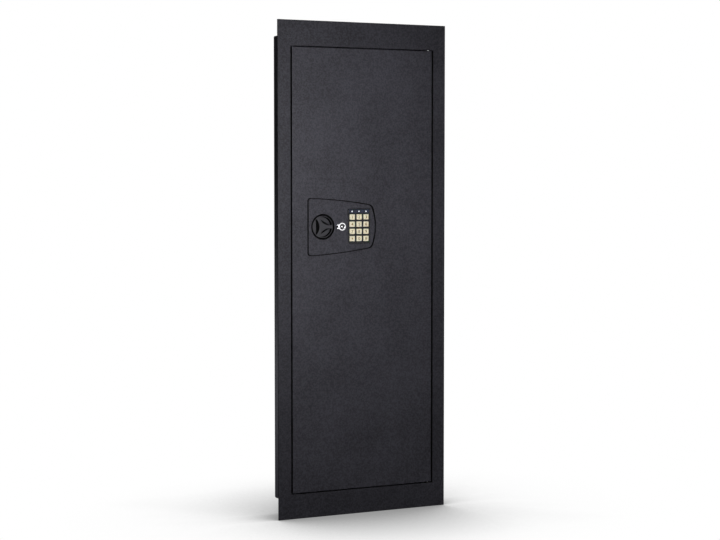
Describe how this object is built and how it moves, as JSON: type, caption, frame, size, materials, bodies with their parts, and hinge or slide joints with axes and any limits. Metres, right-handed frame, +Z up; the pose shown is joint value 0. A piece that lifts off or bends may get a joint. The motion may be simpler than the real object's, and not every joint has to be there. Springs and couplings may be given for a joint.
{
  "type": "gun safe",
  "caption": "In-wall long-gun safe: shallow steel cabinet with a trim flange, hinged door, keypad, override key lock, recessed dial and sliding bolts.",
  "frame": {"origin": "middle of the flange's bottom edge, halfway through its thickness", "axes": "+Z up, +Y into the wall, +X to the right seen from the front"},
  "size_m": [0.406, 0.0829, 1.0714],
  "materials": {
    "powder_coat": "fine textured black powder coat",
    "black_plastic": "black moulded plastic",
    "cream_plastic": "cream moulded keys with printed digits",
    "navy_window": "dark tinted strip",
    "led_white": "white diffusing lens",
    "chrome": "polished chrome",
    "bolt_steel": "ground and plated steel",
    "zinc_steel": "zinc-plated pressed steel",
    "copper_winding": "taped copper winding",
    "carpet": "grey-black needle-felt carpet",
    "foam": "dense black foam",
    "circuit_board": "green laminate",
    "battery_jacket": "printed battery sleeve",
    "red_plastic": "red moulded button"
  },
  "bodies": {
    "cabinet": {"body_shell": "powder_coat", "front_flange": "powder_coat", "strike_jamb": "powder_coat", "hinge_side_jamb": "powder_coat", "hinge_lug_top": "zinc_steel", "hinge_lug_bottom": "zinc_steel", "back_liner": "carpet", "floor_pad": "foam", "barrel_rest": "foam"},
    "door": {"door_skin": "powder_coat", "pivot_block_top": "zinc_steel", "pivot_block_bottom": "zinc_steel", "hinge_pin_top": "zinc_steel", "hinge_pin_bottom": "zinc_steel", "mechanism_plate": "zinc_steel", "mechanism_cover": "black_plastic", "cover_screw_1": "zinc_steel", "cover_screw_2": "zinc_steel", "lock_panel": "powder_coat", "keypad_frame": "black_plastic", "indicator_window": "navy_window", "led_left": "led_white", "led_middle": "led_white", "led_right": "led_white", "keypad_board": "circuit_board", "battery_case": "black_plastic", "battery_1": "battery_jacket", "battery_2": "battery_jacket", "battery_3": "battery_jacket", "battery_4": "battery_jacket", "solenoid_frame": "zinc_steel", "solenoid_coil": "copper_winding", "pin_spring": "zinc_steel", "bolt_guide_top": "zinc_steel", "bolt_guide_middle": "zinc_steel", "bolt_guide_bottom": "zinc_steel", "key_lock_housing": "chrome"},
    "knob": {"knob": "black_plastic", "drive_spindle": "zinc_steel"},
    "bolt_work": {"bolt_carriage": "zinc_steel", "bolt_top": "bolt_steel", "bolt_middle": "bolt_steel", "bolt_bottom": "bolt_steel"},
    "key_core": {"key_plug": "chrome", "key_cam": "zinc_steel"},
    "blocking_pin": {"blocking_pin": "zinc_steel"},
    "battery_cover": {"battery_cover": "black_plastic"},
    "reset_button": {"reset_button": "red_plastic"},
    "key_1": {"key_1": "cream_plastic"},
    "key_2": {"key_2": "cream_plastic"},
    "key_3": {"key_3": "cream_plastic"},
    "key_4": {"key_4": "cream_plastic"},
    "key_5": {"key_5": "cream_plastic"},
    "key_6": {"key_6": "cream_plastic"},
    "key_7": {"key_7": "cream_plastic"},
    "key_8": {"key_8": "cream_plastic"},
    "key_9": {"key_9": "cream_plastic"},
    "key_star": {"key_star": "cream_plastic"},
    "key_0": {"key_0": "cream_plastic"},
    "key_hash": {"key_hash": "cream_plastic"}
  },
  "joints": [
    {"name": "door_swing", "type": "hinge", "parent": "cabinet", "child": "door", "pos_m": [0.163, 0.00475, 0.5357], "axis": [0, 0, 1], "range_deg": [0, 105]},
    {"name": "knob_turn", "type": "hinge", "parent": "door", "child": "knob", "pos_m": [-0.097, 0.00875, 0.6299], "axis": [0, 1, 0], "range_deg": [-90, 0]},
    {"name": "bolt_throw", "type": "slide", "parent": "door", "child": "bolt_work", "axis": [1, 0, 0], "range_m": [-0.014, 0]},
    {"name": "key_turn", "type": "hinge", "parent": "door", "child": "key_core", "pos_m": [-0.0514, 0.00875, 0.6299], "axis": [0, 1, 0], "range_deg": [0, 90]},
    {"name": "blocking_pin_slide", "type": "slide", "parent": "door", "child": "blocking_pin", "axis": [0, 0, 1], "range_m": [-0.006, 0], "deforming": ["pin_spring"]},
    {"name": "battery_cover_slide", "type": "slide", "parent": "door", "child": "battery_cover", "axis": [1, 0, 0], "range_m": [0, 0.012]},
    {"name": "reset_press", "type": "slide", "parent": "door", "child": "reset_button", "axis": [0, -1, 0], "range_m": [0, 0.0015]},
    {"name": "key_1_press", "type": "slide", "parent": "door", "child": "key_1", "axis": [0, 1, 0], "range_m": [0, 0.001]},
    {"name": "key_2_press", "type": "slide", "parent": "door", "child": "key_2", "axis": [0, 1, 0], "range_m": [0, 0.001]},
    {"name": "key_3_press", "type": "slide", "parent": "door", "child": "key_3", "axis": [0, 1, 0], "range_m": [0, 0.001]},
    {"name": "key_4_press", "type": "slide", "parent": "door", "child": "key_4", "axis": [0, 1, 0], "range_m": [0, 0.001]},
    {"name": "key_5_press", "type": "slide", "parent": "door", "child": "key_5", "axis": [0, 1, 0], "range_m": [0, 0.001]},
    {"name": "key_6_press", "type": "slide", "parent": "door", "child": "key_6", "axis": [0, 1, 0], "range_m": [0, 0.001]},
    {"name": "key_7_press", "type": "slide", "parent": "door", "child": "key_7", "axis": [0, 1, 0], "range_m": [0, 0.001]},
    {"name": "key_8_press", "type": "slide", "parent": "door", "child": "key_8", "axis": [0, 1, 0], "range_m": [0, 0.001]},
    {"name": "key_9_press", "type": "slide", "parent": "door", "child": "key_9", "axis": [0, 1, 0], "range_m": [0, 0.001]},
    {"name": "key_star_press", "type": "slide", "parent": "door", "child": "key_star", "axis": [0, 1, 0], "range_m": [0, 0.001]},
    {"name": "key_0_press", "type": "slide", "parent": "door", "child": "key_0", "axis": [0, 1, 0], "range_m": [0, 0.001]},
    {"name": "key_hash_press", "type": "slide", "parent": "door", "child": "key_hash", "axis": [0, 1, 0], "range_m": [0, 0.001]}
  ],
  "couplings": [
    {"joint": "knob_turn", "follows": "bolt_throw", "rad_per_m": 112.19}
  ]
}
